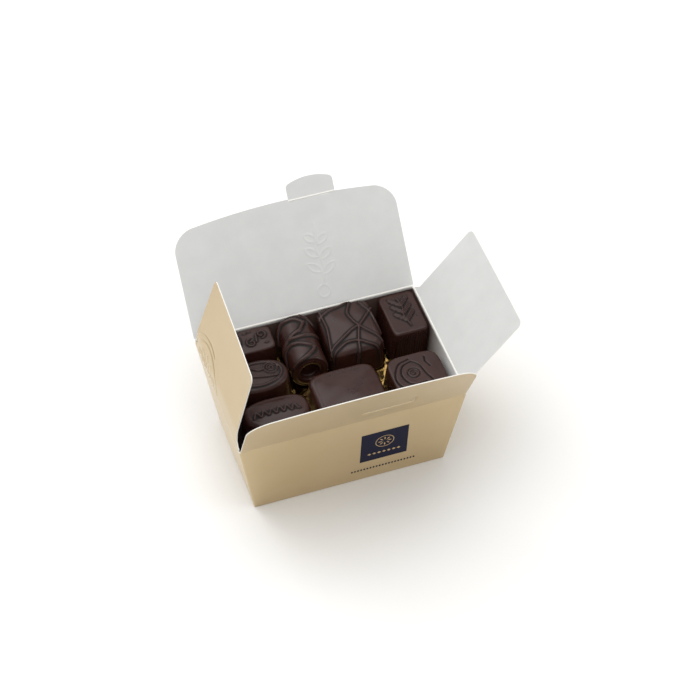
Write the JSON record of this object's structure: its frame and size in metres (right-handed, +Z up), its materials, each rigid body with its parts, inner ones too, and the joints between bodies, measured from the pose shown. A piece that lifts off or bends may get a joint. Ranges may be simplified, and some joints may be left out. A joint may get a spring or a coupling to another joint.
{
  "type": "box of chocolate pralines",
  "caption": "Open tapered card gift box with four folding flaps and a tongued lid, filled to the rim with moulded dark chocolate pralines.",
  "frame": {"origin": "middle of the box's base, on the surface it stands on", "axes": "+X along the front from left to right, +Y from the front to the lid's side, +Z up"},
  "size_m": [0.1476, 0.1394, 0.109],
  "materials": {
    "gold_card": "satin gold print on folding box card",
    "white_card": "matt white inside of folding box card",
    "gold_foil": "gold foil laid between the layers",
    "dark_chocolate": "satin, moulded in polished moulds"
  },
  "bodies": {
    "tray": {"box": "gold_card", "gold_sheet": "gold_foil", "lower_layers": "dark_chocolate", "praline_bar": "dark_chocolate", "praline_block": "dark_chocolate", "praline_log": "dark_chocolate", "praline_oval": "dark_chocolate", "praline_scroll": "dark_chocolate", "praline_smooth": "dark_chocolate", "praline_swirl": "dark_chocolate", "praline_web": "dark_chocolate"},
    "lid": {"lid_flap": "white_card"},
    "tongue": {"lid_tongue": "white_card"},
    "front": {"front_flap": "gold_card"},
    "left": {"left_flap": "gold_card"},
    "right": {"right_flap": "white_card"}
  },
  "joints": [
    {"name": "lid_fold", "type": "hinge", "parent": "tray", "child": "lid", "pos_m": [0, 0.0394, 0.0548], "axis": [-1, 0, 0], "range_deg": [-42, 102]},
    {"name": "tongue_fold", "type": "hinge", "parent": "lid", "child": "tongue", "pos_m": [0.016, 0.07485, 0.10058], "axis": [-1, 0, 0], "range_deg": [-100, 15]},
    {"name": "front_fold", "type": "hinge", "parent": "tray", "child": "front", "pos_m": [0, -0.0394, 0.0548], "axis": [1, 0, 0], "range_deg": [-29.5, 150]},
    {"name": "left_fold", "type": "hinge", "parent": "tray", "child": "left", "pos_m": [-0.059, 0, 0.0548], "axis": [0, -1, 0], "range_deg": [-66, 181]},
    {"name": "right_fold", "type": "hinge", "parent": "tray", "child": "right", "pos_m": [0.059, 0, 0.0548], "axis": [0, 1, 0], "range_deg": [-119.5, 140]}
  ]
}
